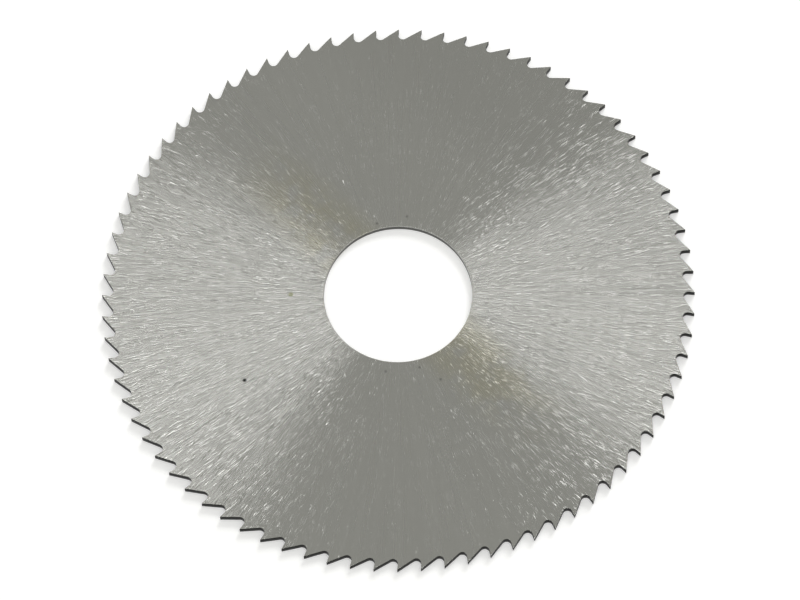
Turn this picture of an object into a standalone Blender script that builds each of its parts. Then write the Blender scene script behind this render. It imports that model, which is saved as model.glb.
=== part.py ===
"""Slitting saw: a thin flat steel disc with fine saw teeth all round its rim and a plain bore.

The saw is one piece. A blank is turned with its bore and its hollow-ground side faces, and the outline
of the teeth is then cut through it. The saw lies flat, its lower face on z = 0 and its bore on the z axis.
Seen from above, the teeth point clockwise.
"""

import math

import bmesh
import bpy
from mathutils import Matrix, Vector

# Disc and bore, in metres.
TIP_DIAMETER = 0.040
BORE_DIAMETER = 0.010
RIM_THICKNESS = 0.0005
BORE_CHAMFER = 0.00005

# Hollow grinding of the side faces: a flat band inside the gullets, then a shallow cone down to the
# flat land round the bore that the arbor's flanges clamp.
RIM_BAND = 0.0006
LAND_DIAMETER = 0.018
HOLLOW_DEPTH = 0.00002

# Teeth. The rake angle is the lean of a tooth's front face from the radius, and the back angle is the
# lean of its back from the tip circle.
TOOTH_COUNT = 80
RAKE_ANGLE = math.radians(6.0)
BACK_ANGLE = math.radians(35.0)
GULLET_RADIUS = 0.00032
GULLET_STEPS = 8

# How far the blank stands outside the tips, and the cutting outline outside the side faces.
CUTTING_ALLOWANCE = 0.0003
FACETS_PER_TOOTH = 2
SHARP_ANGLE = math.radians(25.0)

STEEL_COLOUR = (0.42, 0.42, 0.40, 1.0)
STEEL_ROUGHNESS = 0.38


def clear_scene():
    for obj in list(bpy.data.objects):
        bpy.data.objects.remove(obj, do_unlink=True)


def new_collection(name):
    collection = bpy.data.collections.new(name)
    bpy.context.scene.collection.children.link(collection)
    return collection


def steel_material():
    material = bpy.data.materials.new("ground_tool_steel")
    material.use_nodes = True
    shader = material.node_tree.nodes["Principled BSDF"]
    shader.inputs["Base Color"].default_value = STEEL_COLOUR
    shader.inputs["Metallic"].default_value = 1.0
    shader.inputs["Roughness"].default_value = STEEL_ROUGHNESS
    return material


def on_circle(radius, angle):
    return Vector((radius * math.cos(angle), radius * math.sin(angle)))


def crossing(start, along, other_start, other_along):
    """The point where two lines in the plane meet, each given by a point and a direction."""
    apart = other_start - start
    share = apart.cross(other_along) / along.cross(other_along)
    return start + share * along


def gullet():
    """The outline from the tip at angle 0 to the next tip clockwise, which is left out.

    It runs down the front face, round the gullet's fillet and up the next tooth's straight back.
    """
    tip_radius = TIP_DIAMETER / 2
    pitch_angle = 2 * math.pi / TOOTH_COUNT
    tip = on_circle(tip_radius, 0.0)
    next_tip = on_circle(tip_radius, -pitch_angle)
    down_face = -on_circle(1.0, -RAKE_ANGLE)
    down_back = on_circle(1.0, math.pi / 2 - pitch_angle + BACK_ANGLE)
    corner = crossing(tip, down_face, next_tip, down_back)
    half_corner = down_face.angle(down_back) / 2
    face_end = corner - down_face * GULLET_RADIUS / math.tan(half_corner)
    bisector = -(down_face + down_back).normalized()
    centre = corner + bisector * GULLET_RADIUS / math.sin(half_corner)
    spoke = face_end - centre
    sweep = math.pi - 2 * half_corner
    points = [tip]
    for step in range(GULLET_STEPS + 1):
        turn = Matrix.Rotation(sweep * step / GULLET_STEPS, 2)
        points.append(centre + turn @ spoke)
    return points


def gullet_depth():
    """How far the lowest point of a gullet lies inside the tip circle."""
    return TIP_DIAMETER / 2 - min(point.length for point in gullet())


def tooth_outline():
    """All the teeth, going clockwise from the tip on the +X axis."""
    one = gullet()
    points = []
    for tooth in range(TOOTH_COUNT):
        turn = Matrix.Rotation(-2 * math.pi * tooth / TOOTH_COUNT, 2)
        points.extend(turn @ point for point in one)
    return points


def build_tooth_form(collection):
    """The toothed outline as a plate thicker than the blank, which the blank is cut to."""
    outline = tooth_outline()
    curve = bpy.data.curves.new("tooth_form", "CURVE")
    curve.dimensions = "2D"
    curve.fill_mode = "BOTH"
    curve.extrude = RIM_THICKNESS / 2 + CUTTING_ALLOWANCE
    spline = curve.splines.new("POLY")
    spline.points.add(len(outline) - 1)
    for spline_point, point in zip(spline.points, outline):
        spline_point.co = (point.x, point.y, 0.0, 1.0)
    spline.use_cyclic_u = True
    flat = bpy.data.objects.new("tooth_form_curve", curve)
    flat.location.z = RIM_THICKNESS / 2
    collection.objects.link(flat)
    form = bpy.data.objects.new("tooth_form", mesh_of(flat))
    form.matrix_world = flat.matrix_world.copy()
    form.display_type = "WIRE"
    form.hide_render = True
    collection.objects.link(form)
    bpy.data.objects.remove(flat, do_unlink=True)
    weld(form.data)
    return form


def blank_profile():
    """Half the blank's section as (radius, height) points, starting down the outer side."""
    blank_radius = TIP_DIAMETER / 2 + CUTTING_ALLOWANCE
    band_radius = TIP_DIAMETER / 2 - gullet_depth() - RIM_BAND
    land_radius = LAND_DIAMETER / 2
    bore_radius = BORE_DIAMETER / 2
    upper = [
        (bore_radius, RIM_THICKNESS - HOLLOW_DEPTH - BORE_CHAMFER),
        (bore_radius + BORE_CHAMFER, RIM_THICKNESS - HOLLOW_DEPTH),
        (land_radius, RIM_THICKNESS - HOLLOW_DEPTH),
        (band_radius, RIM_THICKNESS),
        (blank_radius, RIM_THICKNESS),
    ]
    lower = [(radius, RIM_THICKNESS - height) for radius, height in reversed(upper)]
    return upper + lower


def build_blank(collection):
    """The turned disc with its bore, before the teeth are cut."""
    mesh = bpy.data.meshes.new("blank_profile")
    points = [(radius, 0.0, height) for radius, height in blank_profile()]
    edges = [(i, (i + 1) % len(points)) for i in range(len(points))]
    mesh.from_pydata(points, edges, [])
    blank = bpy.data.objects.new("saw_blade", mesh)
    collection.objects.link(blank)
    turning = blank.modifiers.new("turning", "SCREW")
    turning.steps = FACETS_PER_TOOTH * TOOTH_COUNT
    turning.render_steps = turning.steps
    turning.use_merge_vertices = True
    turning.merge_threshold = 0.000001
    return blank


def mesh_of(obj):
    """The object's shape as its modifiers leave it, as a new mesh."""
    bpy.context.view_layer.update()
    graph = bpy.context.evaluated_depsgraph_get()
    return bpy.data.meshes.new_from_object(obj.evaluated_get(graph))


def weld(mesh):
    """Joins a filled curve's loose caps to its sides."""
    shape = bmesh.new()
    shape.from_mesh(mesh)
    bmesh.ops.remove_doubles(shape, verts=shape.verts, dist=0.000001)
    bmesh.ops.recalc_face_normals(shape, faces=shape.faces)
    shape.to_mesh(mesh)
    shape.free()


def cut_teeth(blank, form):
    """Leaves only what lies inside the toothed outline."""
    cut = blank.modifiers.new("teeth", "BOOLEAN")
    cut.operation = "INTERSECT"
    cut.solver = "EXACT"
    cut.object = form


def build_saw():
    clear_scene()
    saw_parts = new_collection("slitting_saw")
    cutters = new_collection("cutters")
    saw = build_blank(saw_parts)
    cut_teeth(saw, build_tooth_form(cutters))
    saw.data = mesh_of(saw)
    saw.modifiers.clear()
    saw.data.name = "saw_blade"
    saw.data.materials.clear()
    saw.data.materials.append(steel_material())
    saw.data.shade_smooth()
    saw.data.set_sharp_from_angle(angle=SHARP_ANGLE)


build_saw()
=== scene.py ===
"""Dresses a fine-toothed slitting saw: its ground side faces, cut teeth and bore, on a white studio stage.

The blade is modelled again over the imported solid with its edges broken, and gets the crossing scratches
of its grinding, which shine only where they lie across the light.
"""

import math
from collections import namedtuple

import bmesh
import bpy
from bpy.props import FloatProperty, FloatVectorProperty, IntProperty, PointerProperty
from bpy.types import Operator, Panel, PropertyGroup
from mathutils import Matrix, Vector


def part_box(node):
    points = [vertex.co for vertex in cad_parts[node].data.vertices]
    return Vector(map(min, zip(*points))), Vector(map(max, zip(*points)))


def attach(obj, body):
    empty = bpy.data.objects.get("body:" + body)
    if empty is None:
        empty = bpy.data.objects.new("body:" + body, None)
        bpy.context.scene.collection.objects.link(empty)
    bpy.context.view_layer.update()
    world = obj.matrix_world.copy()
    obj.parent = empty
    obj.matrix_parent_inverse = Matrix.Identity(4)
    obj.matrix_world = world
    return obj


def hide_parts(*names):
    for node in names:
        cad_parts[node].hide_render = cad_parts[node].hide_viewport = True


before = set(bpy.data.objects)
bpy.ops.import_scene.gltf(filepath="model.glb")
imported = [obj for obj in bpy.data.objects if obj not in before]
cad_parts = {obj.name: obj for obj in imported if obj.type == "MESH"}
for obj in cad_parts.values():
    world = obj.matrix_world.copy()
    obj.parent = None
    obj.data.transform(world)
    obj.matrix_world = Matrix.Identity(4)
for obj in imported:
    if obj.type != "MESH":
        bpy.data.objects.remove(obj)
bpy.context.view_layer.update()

bl_info = {
    "name": "Slitting saw",
    "version": (1, 0, 0),
    "blender": (4, 5, 0),
    "location": "3D View > Sidebar > Slitting saw",
    "description": "Builds a ground steel slitting saw and the stage that it is shown on",
    "category": "Object",
}

SOLID = "saw_blade"
SOLID_LOW, SOLID_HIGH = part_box(SOLID)
TIP_DIAMETER = SOLID_HIGH.x - SOLID_LOW.x
THICKNESS = SOLID_HIGH.z - SOLID_LOW.z
BORE_DIAMETER = 2 * min(math.hypot(v.co.x, v.co.y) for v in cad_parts[SOLID].data.vertices)

POLAR_MAP = "polar"
JOIN_DISTANCE = 0.000001
ROUND_BELOW = math.radians(30.0)
MILLIMETRES = 1000.0


class SawShape(PropertyGroup):
    """The blade's sizes. Its tip diameter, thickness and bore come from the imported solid."""

    tooth_count: IntProperty(name="Teeth", description="Number of teeth round the rim", default=80, min=12)
    rake_angle: FloatProperty(
        name="Rake",
        description="Lean of a tooth's front face from the radius",
        default=math.radians(6.0),
        subtype="ANGLE",
    )
    back_angle: FloatProperty(
        name="Back",
        description="Lean of a tooth's back from the tip circle",
        default=math.radians(35.0),
        subtype="ANGLE",
    )
    gullet_radius: FloatProperty(
        name="Gullet radius",
        description="Radius at the bottom of each gullet",
        default=0.00032,
        precision=5,
        unit="LENGTH",
    )
    rim_band: FloatProperty(
        name="Rim band",
        description="Width of the flat band inside the gullets",
        default=0.0006,
        precision=5,
        unit="LENGTH",
    )
    land_diameter: FloatProperty(
        name="Land diameter",
        description="Diameter of the flat land round the bore",
        default=0.018,
        precision=4,
        unit="LENGTH",
    )
    hollow_depth: FloatProperty(
        name="Hollow grinding",
        description="How far each side face is ground below the rim",
        default=0.00002,
        precision=6,
        unit="LENGTH",
    )
    bore_chamfer: FloatProperty(
        name="Bore chamfer",
        description="Width of the chamfer on the bore's edges",
        default=0.00005,
        precision=6,
        unit="LENGTH",
    )
    edge_break: FloatProperty(
        name="Edge break",
        description="Width of the fine bevel that grinding leaves on every sharp edge",
        default=0.000008,
        precision=6,
        unit="LENGTH",
    )


class SawFinish(PropertyGroup):
    """Colours and grinding marks of the blade."""

    steel_colour: FloatVectorProperty(
        name="Ground steel",
        description="Colour of the ground side faces",
        subtype="COLOR",
        size=3,
        min=0.0,
        max=1.0,
        default=(0.56, 0.56, 0.54),
    )
    tarnish_colour: FloatVectorProperty(
        name="Tarnish",
        description="Colour of the faint brown patches left by handling",
        subtype="COLOR",
        size=3,
        min=0.0,
        max=1.0,
        default=(0.54, 0.522, 0.43),
    )
    stain_colour: FloatVectorProperty(
        name="Stain",
        description="Colour of the small olive stain beside the bore",
        subtype="COLOR",
        size=3,
        min=0.0,
        max=1.0,
        default=(0.36, 0.37, 0.24),
    )
    gullet_colour: FloatVectorProperty(
        name="Cut teeth",
        description="Colour of the dark tooth and gullet walls",
        subtype="COLOR",
        size=3,
        min=0.0,
        max=1.0,
        default=(0.012, 0.012, 0.011),
    )
    bore_colour: FloatVectorProperty(
        name="Bore",
        description="Colour of the bored wall",
        subtype="COLOR",
        size=3,
        min=0.0,
        max=1.0,
        default=(0.08, 0.08, 0.075),
    )
    steel_roughness: FloatProperty(
        name="Roughness",
        description="Roughness of the ground faces, before their lobe is drawn out by the grinding",
        default=0.24,
        min=0.0,
        max=1.0,
    )
    scratch_depth: FloatProperty(
        name="Scratch depth",
        description="Height of the grinding marks in the bump of the ground faces",
        default=0.00001,
        precision=6,
        unit="LENGTH",
    )


class SawStage(PropertyGroup):
    """Camera, lights and floor."""

    focal_length: FloatProperty(name="Lens", description="Focal length in millimetres", default=246.0)
    view_distance: FloatProperty(
        name="Distance",
        description="From the camera to the saw's centre",
        default=0.36867,
        unit="LENGTH",
    )
    view_elevation: FloatProperty(
        name="Elevation",
        description="Angle of the view above the floor",
        default=math.radians(65.68),
        subtype="ANGLE",
    )
    view_azimuth: FloatProperty(
        name="Azimuth",
        description="Turn of the view round the bore",
        default=math.radians(2.40),
        subtype="ANGLE",
    )
    view_roll: FloatProperty(
        name="Roll",
        description="Tilt of the camera about its own line of sight",
        default=math.radians(2.45),
        subtype="ANGLE",
    )
    view_right: FloatProperty(
        name="Right",
        description="How far the camera stands to the right of the saw's centre, in its own frame",
        default=0.00013,
        precision=5,
        unit="LENGTH",
    )
    view_down: FloatProperty(
        name="Down",
        description="How far the camera stands below the saw's centre, in its own frame",
        default=0.000435,
        precision=5,
        unit="LENGTH",
    )
    sky_colour: FloatVectorProperty(
        name="Room light",
        description="Even light of the room, which the dark sectors of the blade reflect",
        subtype="COLOR",
        size=3,
        min=0.0,
        max=1.0,
        default=(0.425, 0.425, 0.398),
    )
    panel_height: FloatProperty(
        name="Panel height",
        description="Height of the overhead soft light",
        default=1.6,
        unit="LENGTH",
    )
    panel_radiance: FloatProperty(
        name="Panel light",
        description="Brightness of the overhead panel's face",
        default=4.45,
    )
    side_radiance: FloatProperty(
        name="Side light",
        description="Brightness of the low lamp whose light throws the shadow on the floor",
        default=9.5,
    )
    floor_colour: FloatVectorProperty(
        name="Floor",
        description="Colour of the floor and backdrop",
        subtype="COLOR",
        size=3,
        min=0.0,
        max=1.0,
        default=(0.80, 0.80, 0.80),
    )
    floor_glow: FloatProperty(
        name="Floor white",
        description="What is added to the floor where it is looked at, so that it comes out white",
        default=0.36,
    )


class Wire:
    """A shader socket used as a number: each operator adds its Math node."""

    def __init__(self, finish, socket):
        self.finish = finish
        self.socket = socket

    def math(self, operation, *others):
        return self.finish.math(operation, self, *others)

    def beside(self, name):
        """Another output of the node that this one comes from."""
        return Wire(self.finish, self.socket.node.outputs[name])

    def __add__(self, other):
        return self.math("ADD", other)

    def __radd__(self, other):
        return self.math("ADD", other)

    def __sub__(self, other):
        return self.math("SUBTRACT", other)

    def __rsub__(self, other):
        return self.finish.math("SUBTRACT", other, self)

    def __mul__(self, other):
        return self.math("MULTIPLY", other)

    def __rmul__(self, other):
        return self.math("MULTIPLY", other)

    def __truediv__(self, other):
        return self.math("DIVIDE", other)

    def __rtruediv__(self, other):
        return self.finish.math("DIVIDE", other, self)

    def band(self, low, high):
        """Rises smoothly from 0 at low to 1 at high, or falls where low is the larger."""
        settings = {"interpolation_type": "SMOOTHSTEP"}
        turned = low > high
        values = {"Value": self, "From Min": min(low, high), "From Max": max(low, high)}
        rise = self.finish.node("ShaderNodeMapRange", settings, values)
        return 1 - rise if turned else rise


class Finish:
    """A material's node tree."""

    def __init__(self, name):
        self.material = bpy.data.materials.new(name)
        self.material.use_nodes = True
        self.tree = self.material.node_tree
        self.shader = self.tree.nodes["Principled BSDF"]

    def node(self, kind, settings=None, values=None, output=0):
        """Adds a node, sets its settings and then its sockets, and gives one of its outputs."""
        made = self.tree.nodes.new(kind)
        for name, setting in (settings or {}).items():
            setattr(made, name, setting)
        for name, value in (values or {}).items():
            self.feed(made.inputs[name], value)
        return Wire(self, made.outputs[output])

    def feed(self, socket, value):
        """Links a wire to a socket, or sets the socket to a plain value."""
        if isinstance(value, Wire):
            self.tree.links.new(value.socket, socket)
        else:
            socket.default_value = value

    def math(self, operation, *values):
        return self.node("ShaderNodeMath", {"operation": operation}, dict(enumerate(values)))

    def place(self):
        """The point's x, y and z in the piece's own frame, in millimetres."""
        coordinates = self.node("ShaderNodeTexCoord", output="Object")
        split = self.node("ShaderNodeSeparateXYZ", values={"Vector": coordinates})
        return [split.beside(axis) * MILLIMETRES for axis in "XYZ"]

    def point(self, x, y, z):
        return self.node("ShaderNodeCombineXYZ", values={"X": x, "Y": y, "Z": z})

    def noise(self, place, detail):
        """Noise from 0 to 1 with one swing to each unit of the place."""
        values = {"Vector": place, "Scale": 1.0, "Detail": detail}
        return self.node("ShaderNodeTexNoise", {"noise_dimensions": "3D"}, values)

    def blend(self, share, first, second):
        """Mixes two colours."""
        values = {"Factor": share, 6: first, 7: second}
        return self.node("ShaderNodeMix", {"data_type": "RGBA"}, values, output=2)

    def surface(self, shader):
        self.feed(self.tree.nodes["Material Output"].inputs["Surface"], shader)

    def shade(self, **values):
        """Sets or links the sockets of the surface shader. An underscore in a name stands for a space."""
        for name, value in values.items():
            self.feed(self.shader.inputs[name.replace("_", " ")], value)


def opaque(colour):
    return (*colour, 1.0)


def from_centre(across, along):
    """How far a point lies from a centre, by Pythagoras."""
    return (across * across + along * along).math("SQRT")


# Lengths and places on the side faces are in millimetres, as the shader's own place is.
# Marks: how many lie side by side round the bore, and how long each is.
Marks = namedtuple("Marks", "per_turn length")
STREAKS = Marks(200, 9.0)
BUNDLES = Marks(220, 9.0)
WANDER = Marks(260, 12.0)
WEAR = Marks(650, 4.5)
INNER_NEEDLES = Marks(420, 0.6)
OUTER_NEEDLES = Marks(980, 0.9)
LONG_NEEDLES = Marks(1000, 2.2)

# Shifts that keep one pattern from repeating another. A step is taken for each scratch in SCRATCHES.
STREAK_SEED = 13.0
WEAR_SEED = 17.0
WANDER_SEED = 23.0
BUNDLE_SEED = 31.0
BUNDLE_SEED_STEP = 3.7
NEEDLE_SEED_STEP = 5.3
LONG_NEEDLE_SEED_STEP = 7.1

GRAIN_DETAIL = 1.0
NEEDLE_SIZE = 0.6
NEEDLE_SLOPE = 0.2
NEEDLE_SLOPE_SPREAD = 1.6
OUTER_RADIUS = 12.0
OUTER_WANDER = 4.0
OUTER_WANDER_PATCH = 0.4
SPOT_CORE = 0.6
SPOT_EDGE = 1.3


class Grinding:
    """The marks of the side faces, which all lean from the radius by some angle."""

    def __init__(self, finish):
        self.finish = finish
        self.x, self.y, self.z = finish.place()
        self.radius = from_centre(self.x, self.y)
        self.angle = finish.math("ARCTAN2", self.y, self.x)
        self.spiral = self.radius.math("LOGARITHM", math.e)
        wandering = self.radius + self.cloud(OUTER_WANDER_PATCH, 0.0) * OUTER_WANDER
        self.outer = wandering.math("GREATER_THAN", OUTER_RADIUS)

    def cloud(self, patch, detail):
        """Noise from 0 to 1 in patches of about this width."""
        return self.finish.noise(self.finish.point(self.x / patch, self.y / patch, self.z), detail)

    def towards(self, angle):
        """How far a point lies from the bore's centre in one direction."""
        return self.x * math.cos(angle) + self.y * math.sin(angle)

    def place(self, lean, marks, seed):
        """A place that moves by one for each mark passed across or along."""
        heading = self.angle - self.spiral * math.tan(lean)
        ring = marks.per_turn / (2 * math.pi)
        across = heading.math("COSINE") * ring + seed
        around = heading.math("SINE") * ring + seed
        return self.finish.point(across, around, self.radius / marks.length)

    def grain(self, lean, marks, seed):
        """Noise from 0 to 1, drawn out along lines that lean from the radius."""
        return self.finish.noise(self.place(lean, marks, seed), GRAIN_DETAIL)

    def needles(self, lean, marks, seed, kept):
        """Straight marks that taper at both ends: how deep each is, from 0 between them."""
        cell = self.finish.node(
            "ShaderNodeTexVoronoi",
            {"voronoi_dimensions": "3D"},
            {"Vector": self.place(lean, marks, seed), "Scale": 1.0},
            output="Distance",
        )
        chance = self.finish.node("ShaderNodeSeparateColor", values={0: cell.beside("Color")}, output="Red")
        depth = chance.beside("Green") * NEEDLE_SIZE - cell
        slope = chance.beside("Blue") * NEEDLE_SLOPE_SPREAD + NEEDLE_SLOPE
        return depth.math("MAXIMUM", 0.0) * slope * (chance + kept).math("GREATER_THAN", 1.0)

    def blades(self, lean, seed, kept):
        """Short needles of about the same width out on the blade and round its bore."""
        inner, outer = INNER_NEEDLES, OUTER_NEEDLES
        per_turn = self.outer * (outer.per_turn - inner.per_turn) + inner.per_turn
        length = self.outer * (outer.length - inner.length) + inner.length
        return self.needles(lean, Marks(per_turn, length), seed, kept)

    def spot(self, x, y, radius):
        """A round spot with a soft rim."""
        return from_centre(self.x - x, self.y - y).band(radius * SPOT_EDGE, radius * SPOT_CORE)


STREAK_BAND = (0.3, 0.7)
STREAK_SHARE = 0.6
STREAK_LIGHTNESS = 0.96
# Painted shade: the direction, reach and lightness of the darkening painted on the outer part of the side
# face towards the upper right.
PAINTED_SHADE_ANGLE = math.radians(50.0)
PAINTED_SHADE_REACH = (8.0, 15.0)
PAINTED_SHADE_LIGHTNESS = 0.93
TARNISH_ANGLE = math.radians(134.5)
TARNISH_ACROSS = (3.2, 0.8)
TARNISH_ALONG = (16.0, 8.0)
TARNISH_PATCH = 2.2
TARNISH_DETAIL = 3.0
TARNISH_BAND = (0.35, 0.6)
TARNISH_SHARE = 0.8
SPECK = (-10.27, -6.32)
SPECK_RADIUS = 0.13
PITS = ((-1.45, 5.24), (0.58, 5.75), (-0.82, -5.71), (1.46, -5.43), (2.87, -6.31))
PIT_RADIUS = 0.09
PIT_SHARE = 0.4
STAIN = (-7.24, -0.02)
STAIN_RADIUS = 0.17
STAIN_SHARE = 0.8


def steel_paint(finish, grinding, settings):
    """The ground face's colour: faint streaks, painted shade on the outer part towards the upper right, brown
    tarnish, a speck, pits and a stain.
    """
    steel = Vector(settings.steel_colour)
    streaks = grinding.grain(0.0, STREAKS, STREAK_SEED).band(*STREAK_BAND)
    colour = finish.blend(streaks * STREAK_SHARE, opaque(steel), opaque(steel * STREAK_LIGHTNESS))
    # Painted shade: the colour is darkened across the outer part towards the upper right, standing in for the
    # light falling off there.
    painted_shade = grinding.towards(PAINTED_SHADE_ANGLE).band(*PAINTED_SHADE_REACH)
    colour = finish.blend(painted_shade, colour, opaque(steel * PAINTED_SHADE_LIGHTNESS))
    along = grinding.towards(TARNISH_ANGLE).math("ABSOLUTE").band(*TARNISH_ALONG)
    across = grinding.towards(TARNISH_ANGLE + math.pi / 2).math("ABSOLUTE").band(*TARNISH_ACROSS)
    patches = grinding.cloud(TARNISH_PATCH, TARNISH_DETAIL).band(*TARNISH_BAND)
    tarnish = across * along * patches * TARNISH_SHARE
    colour = finish.blend(tarnish, colour, opaque(settings.tarnish_colour))
    pits = grinding.spot(*SPECK, SPECK_RADIUS)
    for x, y in PITS:
        pits = pits + grinding.spot(x, y, PIT_RADIUS) * PIT_SHARE
    colour = finish.blend(pits, colour, opaque(settings.gullet_colour))
    stain = grinding.spot(*STAIN, STAIN_RADIUS) * STAIN_SHARE
    return finish.blend(stain, colour, opaque(settings.stain_colour))


# Scratch: its lean from the radius, the share of its needles that is drawn, and how deep they are.
Scratch = namedtuple("Scratch", "lean share depth")
SCRATCHES = (
    Scratch(math.radians(7.0), 0.65, 3.2),
    Scratch(math.radians(-7.0), 0.65, 3.2),
    Scratch(math.radians(14.0), 0.3, 1.1),
    Scratch(math.radians(-14.0), 0.3, 1.1),
)
BUNDLE_BAND = (0.35, 0.65)
BETWEEN_BUNDLES = 0.3
MORE_IN_BUNDLES = 1.5
LONG_UP_TO = math.radians(10.0)
LONG_BETWEEN_BUNDLES = 0.02
LONG_MORE_IN_BUNDLES = 0.12


def draw_scratch(grinding, order, scratch):
    """Short needles in bundles, with a few long ones where they lean little: how deep each is."""
    bundles = grinding.grain(scratch.lean, BUNDLES, BUNDLE_SEED + BUNDLE_SEED_STEP * order).band(*BUNDLE_BAND)
    kept = bundles * (MORE_IN_BUNDLES * scratch.share) + BETWEEN_BUNDLES * scratch.share
    needles = grinding.blades(scratch.lean, NEEDLE_SEED_STEP * order, kept)
    if abs(scratch.lean) > LONG_UP_TO:
        return needles
    kept = bundles * LONG_MORE_IN_BUNDLES + LONG_BETWEEN_BUNDLES
    return needles + grinding.needles(scratch.lean, LONG_NEEDLES, LONG_NEEDLE_SEED_STEP * order, kept)


BASE_DEPTH = 3.4
BASE_LEANS = (math.radians(4.0), math.radians(-5.0))
LAYER_DEPTH = 0.08
WEAR_SPREAD = 0.22
WANDER_WIDTH = 24.0
LOWER_HALF = (4.0, -4.0)


def ground_steel(settings):
    """One bump and one coat of paint, under a drawn-out shine for each lean of the marks.

    The base under the scratches leans one way above the bore and the other way below it.
    """
    finish = Finish("ground_steel")
    grinding = Grinding(finish)
    height = grinding.blades(0.0, 0.0, 1.0) * -BASE_DEPTH
    shares = []
    for order, scratch in enumerate(SCRATCHES, start=1):
        needles = draw_scratch(grinding, order, scratch)
        height = height - needles * scratch.depth
        shares.append(needles.band(0.0, LAYER_DEPTH))
    bump = finish.node(
        "ShaderNodeBump",
        values={"Strength": 1.0, "Distance": settings.scratch_depth, "Height": height},
    )
    tangent = finish.node("ShaderNodeTangent", {"direction_type": "UV_MAP", "uv_map": POLAR_MAP})
    paint = steel_paint(finish, grinding, settings)
    wear = grinding.grain(0.0, WEAR, WEAR_SEED) - 0.5
    roughness = wear * WEAR_SPREAD + settings.steel_roughness
    wander = (grinding.grain(0.0, WANDER, WANDER_SEED) - 0.5) * WANDER_WIDTH
    lower = (grinding.y + wander).band(*LOWER_HALF)
    surface = None
    leans = (*BASE_LEANS, *(scratch.lean for scratch in SCRATCHES))
    for share, lean in zip((None, lower, *shares), leans):
        layer = finish.node(
            "ShaderNodeBsdfPrincipled",
            values={
                "Base Color": paint,
                "Metallic": 1.0,
                "Roughness": roughness,
                "Anisotropic": 1.0,
                "Anisotropic Rotation": lean / (2 * math.pi) % 1.0,
                "Tangent": tangent,
                "Normal": bump,
            },
        )
        if surface is None:
            surface = layer
        else:
            surface = finish.node("ShaderNodeMixShader", values={0: share, 1: surface, 2: layer})
    finish.tree.nodes.remove(finish.shader)
    finish.surface(surface)
    return finish.material


def cut_steel(settings):
    finish = Finish("cut_steel")
    finish.shade(Base_Color=opaque(settings.gullet_colour), Metallic=1.0, Roughness=0.5)
    return finish.material


def bored_steel(settings):
    finish = Finish("bored_steel")
    finish.shade(Base_Color=opaque(settings.bore_colour), Metallic=1.0, Roughness=0.4)
    return finish.material


def on_circle(radius, angle):
    return Vector((radius * math.cos(angle), radius * math.sin(angle)))


def crossing(start, along, other_start, other_along):
    """The point where two lines in the plane meet, each given by a point and a direction."""
    share = (other_start - start).cross(other_along) / along.cross(other_along)
    return start + share * along


GULLET_STEPS = 14


def gullet(shape):
    """The outline from the tip at angle 0, down its front face and round the gullet to the next back."""
    pitch = 2 * math.pi / shape.tooth_count
    tip = on_circle(TIP_DIAMETER / 2, 0.0)
    next_tip = on_circle(TIP_DIAMETER / 2, -pitch)
    down_face = -on_circle(1.0, -shape.rake_angle)
    down_back = on_circle(1.0, math.pi / 2 - pitch + shape.back_angle)
    corner = crossing(tip, down_face, next_tip, down_back)
    half_corner = down_face.angle(down_back) / 2
    face_end = corner - down_face * shape.gullet_radius / math.tan(half_corner)
    bisector = -(down_face + down_back).normalized()
    centre = corner + bisector * shape.gullet_radius / math.sin(half_corner)
    spoke = face_end - centre
    sweep = math.pi - 2 * half_corner
    turns = [sweep * step / GULLET_STEPS for step in range(GULLET_STEPS + 1)]
    arc = [centre + Matrix.Rotation(turn, 2) @ spoke for turn in turns]
    return [tip, *arc, next_tip]


def select_where(piece, wanted):
    """In edit mode, selects the vertices whose place passes the test, with the edges between them."""
    shape = bmesh.from_edit_mesh(piece.data)
    for element in (*shape.faces, *shape.edges, *shape.verts):
        element.select = False
    for vert in shape.verts:
        vert.select = wanted(vert.co)
    shape.select_flush(True)
    bmesh.update_edit_mesh(piece.data)


def near(value, wanted):
    return abs(value - wanted) < JOIN_DISTANCE


def scale_about_axis(scale):
    bpy.ops.transform.resize(value=(scale, scale, 1.0), center_override=(0.0, 0.0, 0.0))


def pull_round(start, end):
    """Turns and scales the selection about the bore so that a point at start comes to end."""
    turn = math.atan2(end.y, end.x) - math.atan2(start.y, start.x)
    scale_about_axis(end.length / start.length)
    bpy.ops.transform.rotate(
        value=turn,
        orient_axis="Z",
        orient_type="GLOBAL",
        constraint_axis=(False, False, True),
        center_override=(0.0, 0.0, 0.0),
    )


def pull_in(from_radius, to_radius, lift):
    """Extrudes the selected ring to another radius and height."""
    bpy.ops.mesh.extrude_region_move()
    scale_about_axis(to_radius / from_radius)
    bpy.ops.transform.translate(value=(0.0, 0.0, lift))


def apply_modifier(piece, name, kind, **settings):
    made = piece.modifiers.new(name, kind)
    for key, value in settings.items():
        setattr(made, key, value)
    bpy.ops.object.modifier_apply(modifier=made.name)


def draw_tooth_walls(shape, half):
    """The toothed outline, drawn on all teeth at once from their tips, and its walls up from mid-height."""
    bpy.ops.mesh.delete(type="EDGE_FACE")
    bpy.ops.mesh.select_all(action="SELECT")
    points = gullet(shape)
    for start, end in zip(points, points[1:]):
        bpy.ops.mesh.extrude_verts_indiv()
        pull_round(start, end)
    bpy.ops.mesh.select_all(action="SELECT")
    bpy.ops.mesh.remove_doubles(threshold=JOIN_DISTANCE)
    bpy.ops.mesh.extrude_region_move()
    bpy.ops.transform.translate(value=(0.0, 0.0, half))


RING_STEPS_PER_TOOTH = 4


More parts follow.
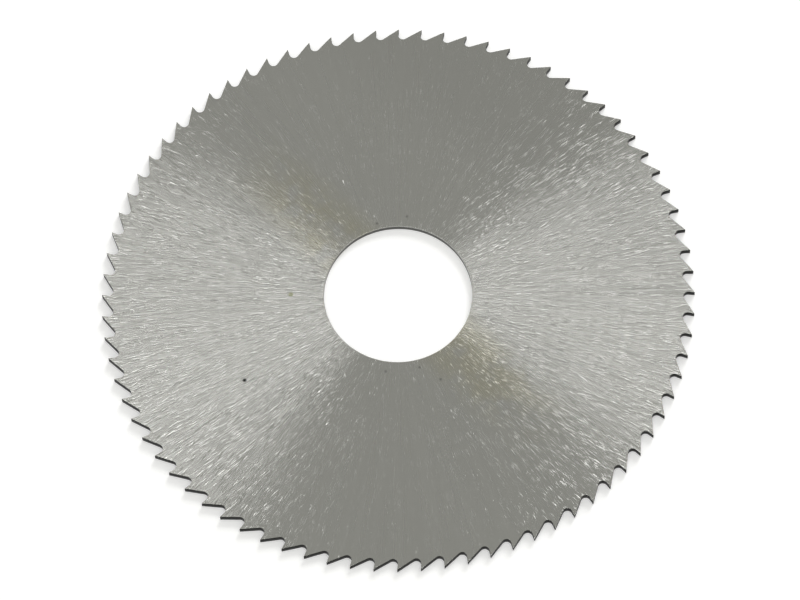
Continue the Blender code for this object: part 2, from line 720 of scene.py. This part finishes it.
def lay_side_face(blade, shape, half):
    """The upper side face, from the teeth in to the bore, and the bore's wall down to mid-height."""
    band_radius = min(point.length for point in gullet(shape)) - shape.rim_band
    land_radius = shape.land_diameter / 2
    bore_radius = BORE_DIAMETER / 2
    bpy.ops.mesh.primitive_circle_add(
        vertices=RING_STEPS_PER_TOOTH * shape.tooth_count, radius=band_radius, location=(0.0, 0.0, half)
    )
    select_where(blade, lambda at: near(at.z, half))
    bpy.ops.mesh.fill()
    select_where(blade, lambda at: near(at.xy.length, band_radius))
    pull_in(band_radius, land_radius, -shape.hollow_depth)
    pull_in(land_radius, bore_radius + shape.bore_chamfer, 0.0)
    pull_in(bore_radius + shape.bore_chamfer, bore_radius, -shape.bore_chamfer)
    pull_in(bore_radius, bore_radius, shape.bore_chamfer + shape.hollow_depth - half)


FLAT = 0.999


def keep_faces_flat(blade):
    """Marks the side faces' borders sharp, so that the fine bevels don't bend their shading."""
    bpy.ops.object.mode_set(mode="EDIT")
    bpy.ops.mesh.select_mode(type="FACE")
    shape = bmesh.from_edit_mesh(blade.data)
    for face in shape.faces:
        face.select = abs(face.normal.z) > FLAT
    bmesh.update_edit_mesh(blade.data)
    bpy.ops.mesh.region_to_loop()
    bpy.ops.mesh.mark_sharp()
    bpy.ops.mesh.select_mode(type="VERT")
    bpy.ops.object.mode_set(mode="OBJECT")


def unwrap_round_the_bore(blade):
    """A map whose first direction runs round the bore, which the grinding's highlight follows."""
    places = blade.data.uv_layers.new(name=POLAR_MAP)
    for face in blade.data.polygons:
        middle = math.atan2(face.center.y, face.center.x)
        for corner in face.loop_indices:
            at = blade.data.vertices[blade.data.loops[corner].vertex_index].co
            apart = math.remainder(math.atan2(at.y, at.x) - middle, 2 * math.pi)
            turn = (middle + apart) / (2 * math.pi)
            places.data[corner].uv = (turn + 0.5, at.xy.length / TIP_DIAMETER)


STEEP = 0.5


class BuildBlade(Operator):
    """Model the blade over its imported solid, with its ground faces, cut teeth and bore"""

    bl_idname = "slitting_saw.build_blade"
    bl_label = "Blade"

    def execute(self, context):
        shape = context.scene.saw_shape
        half = THICKNESS / 2
        bpy.ops.object.select_all(action="DESELECT")
        bpy.ops.mesh.primitive_circle_add(
            vertices=shape.tooth_count, radius=TIP_DIAMETER / 2, rotation=(0.0, 0.0, -math.pi / 2)
        )
        blade = context.object
        blade.name = "ground_blade"
        bpy.ops.object.transform_apply(location=False, rotation=True, scale=False)
        bpy.ops.object.mode_set(mode="EDIT")
        draw_tooth_walls(shape, half)
        lay_side_face(blade, shape, half)
        bpy.ops.object.mode_set(mode="OBJECT")
        apply_modifier(
            blade, "other_side", "MIRROR", use_axis=(False, False, True), merge_threshold=JOIN_DISTANCE
        )
        bpy.ops.object.mode_set(mode="EDIT")
        bpy.ops.mesh.select_all(action="SELECT")
        bpy.ops.transform.translate(value=(0.0, 0.0, half))
        bpy.ops.mesh.normals_make_consistent(inside=False)
        bpy.ops.object.mode_set(mode="OBJECT")
        apply_modifier(
            blade,
            "edge_break",
            "BEVEL",
            width=shape.edge_break,
            segments=2,
            limit_method="ANGLE",
            angle_limit=ROUND_BELOW,
        )
        bpy.ops.object.shade_smooth_by_angle(angle=ROUND_BELOW)
        keep_faces_flat(blade)
        unwrap_round_the_bore(blade)
        self.dress(blade, context.scene.saw_finish)
        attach(blade, "root")
        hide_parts(SOLID)
        return {"FINISHED"}

    def dress(self, blade, finish):
        """Gives each face its steel: ground where it lies flat, bored or cut where it stands."""
        for material in (ground_steel(finish), cut_steel(finish), bored_steel(finish)):
            blade.data.materials.append(material)
        ground, cut, bored = range(3)
        halfway = TIP_DIAMETER / 4
        for face in blade.data.polygons:
            wall = bored if face.center.xy.length < halfway else cut
            face.material_index = wall if abs(face.normal.z) < STEEP else ground


def floor_paint(settings):
    """White where it is looked at from above, and clear from below, so that the underside can be seen."""
    finish = Finish("floor_paint")
    rays = finish.node("ShaderNodeLightPath", output="Is Camera Ray")
    looked_at = rays.math("MAXIMUM", rays.beside("Is Glossy Ray"))
    looked_at = looked_at.math("MAXIMUM", rays.beside("Is Transmission Ray"))
    finish.shade(
        Base_Color=opaque(settings.floor_colour),
        Roughness=1.0,
        Specular_IOR_Level=0.0,
        Emission_Color=looked_at * settings.floor_glow,
        Emission_Strength=1.0,
    )
    below = finish.node("ShaderNodeNewGeometry", output="Backfacing")
    clear = finish.node("ShaderNodeBsdfTransparent")
    paint = Wire(finish, finish.shader.outputs["BSDF"])
    finish.surface(finish.node("ShaderNodeMixShader", values={0: below, 1: paint, 2: clear}))
    return finish.material


FLOOR_GAP = 0.00001
FLOOR_RADIUS = 0.8
FLOOR_SIDES = 96
RIM_MARGIN = 0.001
COVE_RADIUS = 0.6
COVE_RISE = math.radians(75.0)
COVE_STEPS = 12


def lay_floor(settings):
    """A round floor, a hair below the saw, whose rim curves up into a low backdrop."""
    bpy.ops.object.select_all(action="DESELECT")
    bpy.ops.mesh.primitive_circle_add(
        vertices=FLOOR_SIDES, radius=FLOOR_RADIUS, fill_type="NGON", location=(0.0, 0.0, -FLOOR_GAP)
    )
    floor = bpy.context.object
    floor.name = "floor"
    bpy.ops.object.mode_set(mode="EDIT")
    radius = FLOOR_RADIUS
    height = 0.0
    for step in range(1, COVE_STEPS + 1):
        bend = COVE_RISE * step / COVE_STEPS
        next_radius = FLOOR_RADIUS + COVE_RADIUS * math.sin(bend)
        next_height = COVE_RADIUS * (1 - math.cos(bend))
        select_where(floor, lambda at: at.xy.length > radius - RIM_MARGIN)
        bpy.ops.mesh.extrude_edges_indiv()
        scale_about_axis(next_radius / radius)
        bpy.ops.transform.translate(value=(0.0, 0.0, next_height - height))
        radius = next_radius
        height = next_height
    bpy.ops.mesh.select_all(action="SELECT")
    bpy.ops.mesh.normals_make_consistent(inside=True)
    bpy.ops.object.mode_set(mode="OBJECT")
    bpy.ops.object.shade_smooth_by_angle(angle=ROUND_BELOW)
    floor.data.materials.append(floor_paint(settings))


def hang_light(name, place, across, deep, radiance, shows_in_gloss):
    """A soft rectangular light that faces the saw."""
    lamp = bpy.data.lights.new(name, "AREA")
    lamp.shape = "RECTANGLE"
    lamp.size = across
    lamp.size_y = deep
    lamp.energy = radiance * math.pi * across * deep
    light = bpy.data.objects.new(name, lamp)
    light.location = place
    light.rotation_euler = Vector((0.0, 0.0, -1.0)).rotation_difference(-Vector(place)).to_euler()
    light.visible_camera = False
    light.visible_glossy = shows_in_gloss
    bpy.context.scene.collection.objects.link(light)


def set_sky(settings):
    world = bpy.data.worlds.new("room")
    world.use_nodes = True
    world.node_tree.nodes["Background"].inputs["Color"].default_value = opaque(settings.sky_colour)
    bpy.context.scene.world = world


CLIP_START = 0.01


def set_camera(settings):
    """A camera that looks down on the middle of the upper face from where the photograph was taken."""
    lens = bpy.data.cameras.new("camera")
    lens.lens = settings.focal_length
    lens.clip_start = CLIP_START
    camera = bpy.data.objects.new("camera", lens)
    bpy.context.scene.collection.objects.link(camera)
    turn = (
        Matrix.Rotation(settings.view_azimuth, 4, "Z")
        @ Matrix.Rotation(math.pi / 2 - settings.view_elevation, 4, "X")
        @ Matrix.Rotation(-settings.view_roll, 4, "Z")
    )
    stand = Vector((settings.view_right, -settings.view_down, settings.view_distance))
    camera.matrix_world = Matrix.Translation((0.0, 0.0, THICKNESS)) @ turn @ Matrix.Translation(stand)
    bpy.context.scene.camera = camera


# The overhead panel's shift to the right and the halves of its sides, for each metre of its height.
PANEL_SHIFT = 0.03
PANEL_HALF_WIDTH = 0.36
PANEL_HALF_DEPTH = 0.11

SIDE_DISTANCE = 0.7
SIDE_ELEVATION = math.radians(33.0)
SIDE_AZIMUTH = math.radians(64.0)
SIDE_SIZE = 0.3


class BuildStage(Operator):
    """Set the floor, the lights and the camera"""

    bl_idname = "slitting_saw.build_stage"
    bl_label = "Stage"

    def execute(self, context):
        settings = context.scene.saw_stage
        context.scene.view_settings.view_transform = "Standard"
        lay_floor(settings)
        set_sky(settings)
        set_camera(settings)
        height = settings.panel_height
        hang_light(
            "overhead_panel",
            (PANEL_SHIFT * height, 0.0, height),
            2 * PANEL_HALF_WIDTH * height,
            2 * PANEL_HALF_DEPTH * height,
            settings.panel_radiance,
            True,
        )
        low = on_circle(SIDE_DISTANCE * math.cos(SIDE_ELEVATION), SIDE_AZIMUTH)
        hang_light(
            "side_lamp",
            (low.x, low.y, SIDE_DISTANCE * math.sin(SIDE_ELEVATION)),
            SIDE_SIZE,
            SIDE_SIZE,
            settings.side_radiance,
            False,
        )
        return {"FINISHED"}


class SawPanel(Panel):
    """Lists the saw's settings and the buttons that build it"""

    bl_idname = "VIEW3D_PT_slitting_saw"
    bl_label = "Slitting saw"
    bl_space_type = "VIEW_3D"
    bl_region_type = "UI"
    bl_category = "Slitting saw"

    def draw(self, context):
        for name in SETTINGS:
            group = getattr(context.scene, name)
            box = self.layout.box()
            for key in group.__annotations__:
                box.prop(group, key)
        for operator in (BuildBlade, BuildStage):
            self.layout.operator(operator.bl_idname)


SETTINGS = {"saw_shape": SawShape, "saw_finish": SawFinish, "saw_stage": SawStage}
CLASSES = (SawShape, SawFinish, SawStage, BuildBlade, BuildStage, SawPanel)


def register():
    for cls in CLASSES:
        bpy.utils.register_class(cls)
    for name, group in SETTINGS.items():
        setattr(bpy.types.Scene, name, PointerProperty(type=group))


def unregister():
    for name in SETTINGS:
        delattr(bpy.types.Scene, name)
    for cls in reversed(CLASSES):
        bpy.utils.unregister_class(cls)


def main():
    register()
    bpy.ops.slitting_saw.build_blade()
    bpy.ops.slitting_saw.build_stage()


if __name__ == "__main__":
    main()
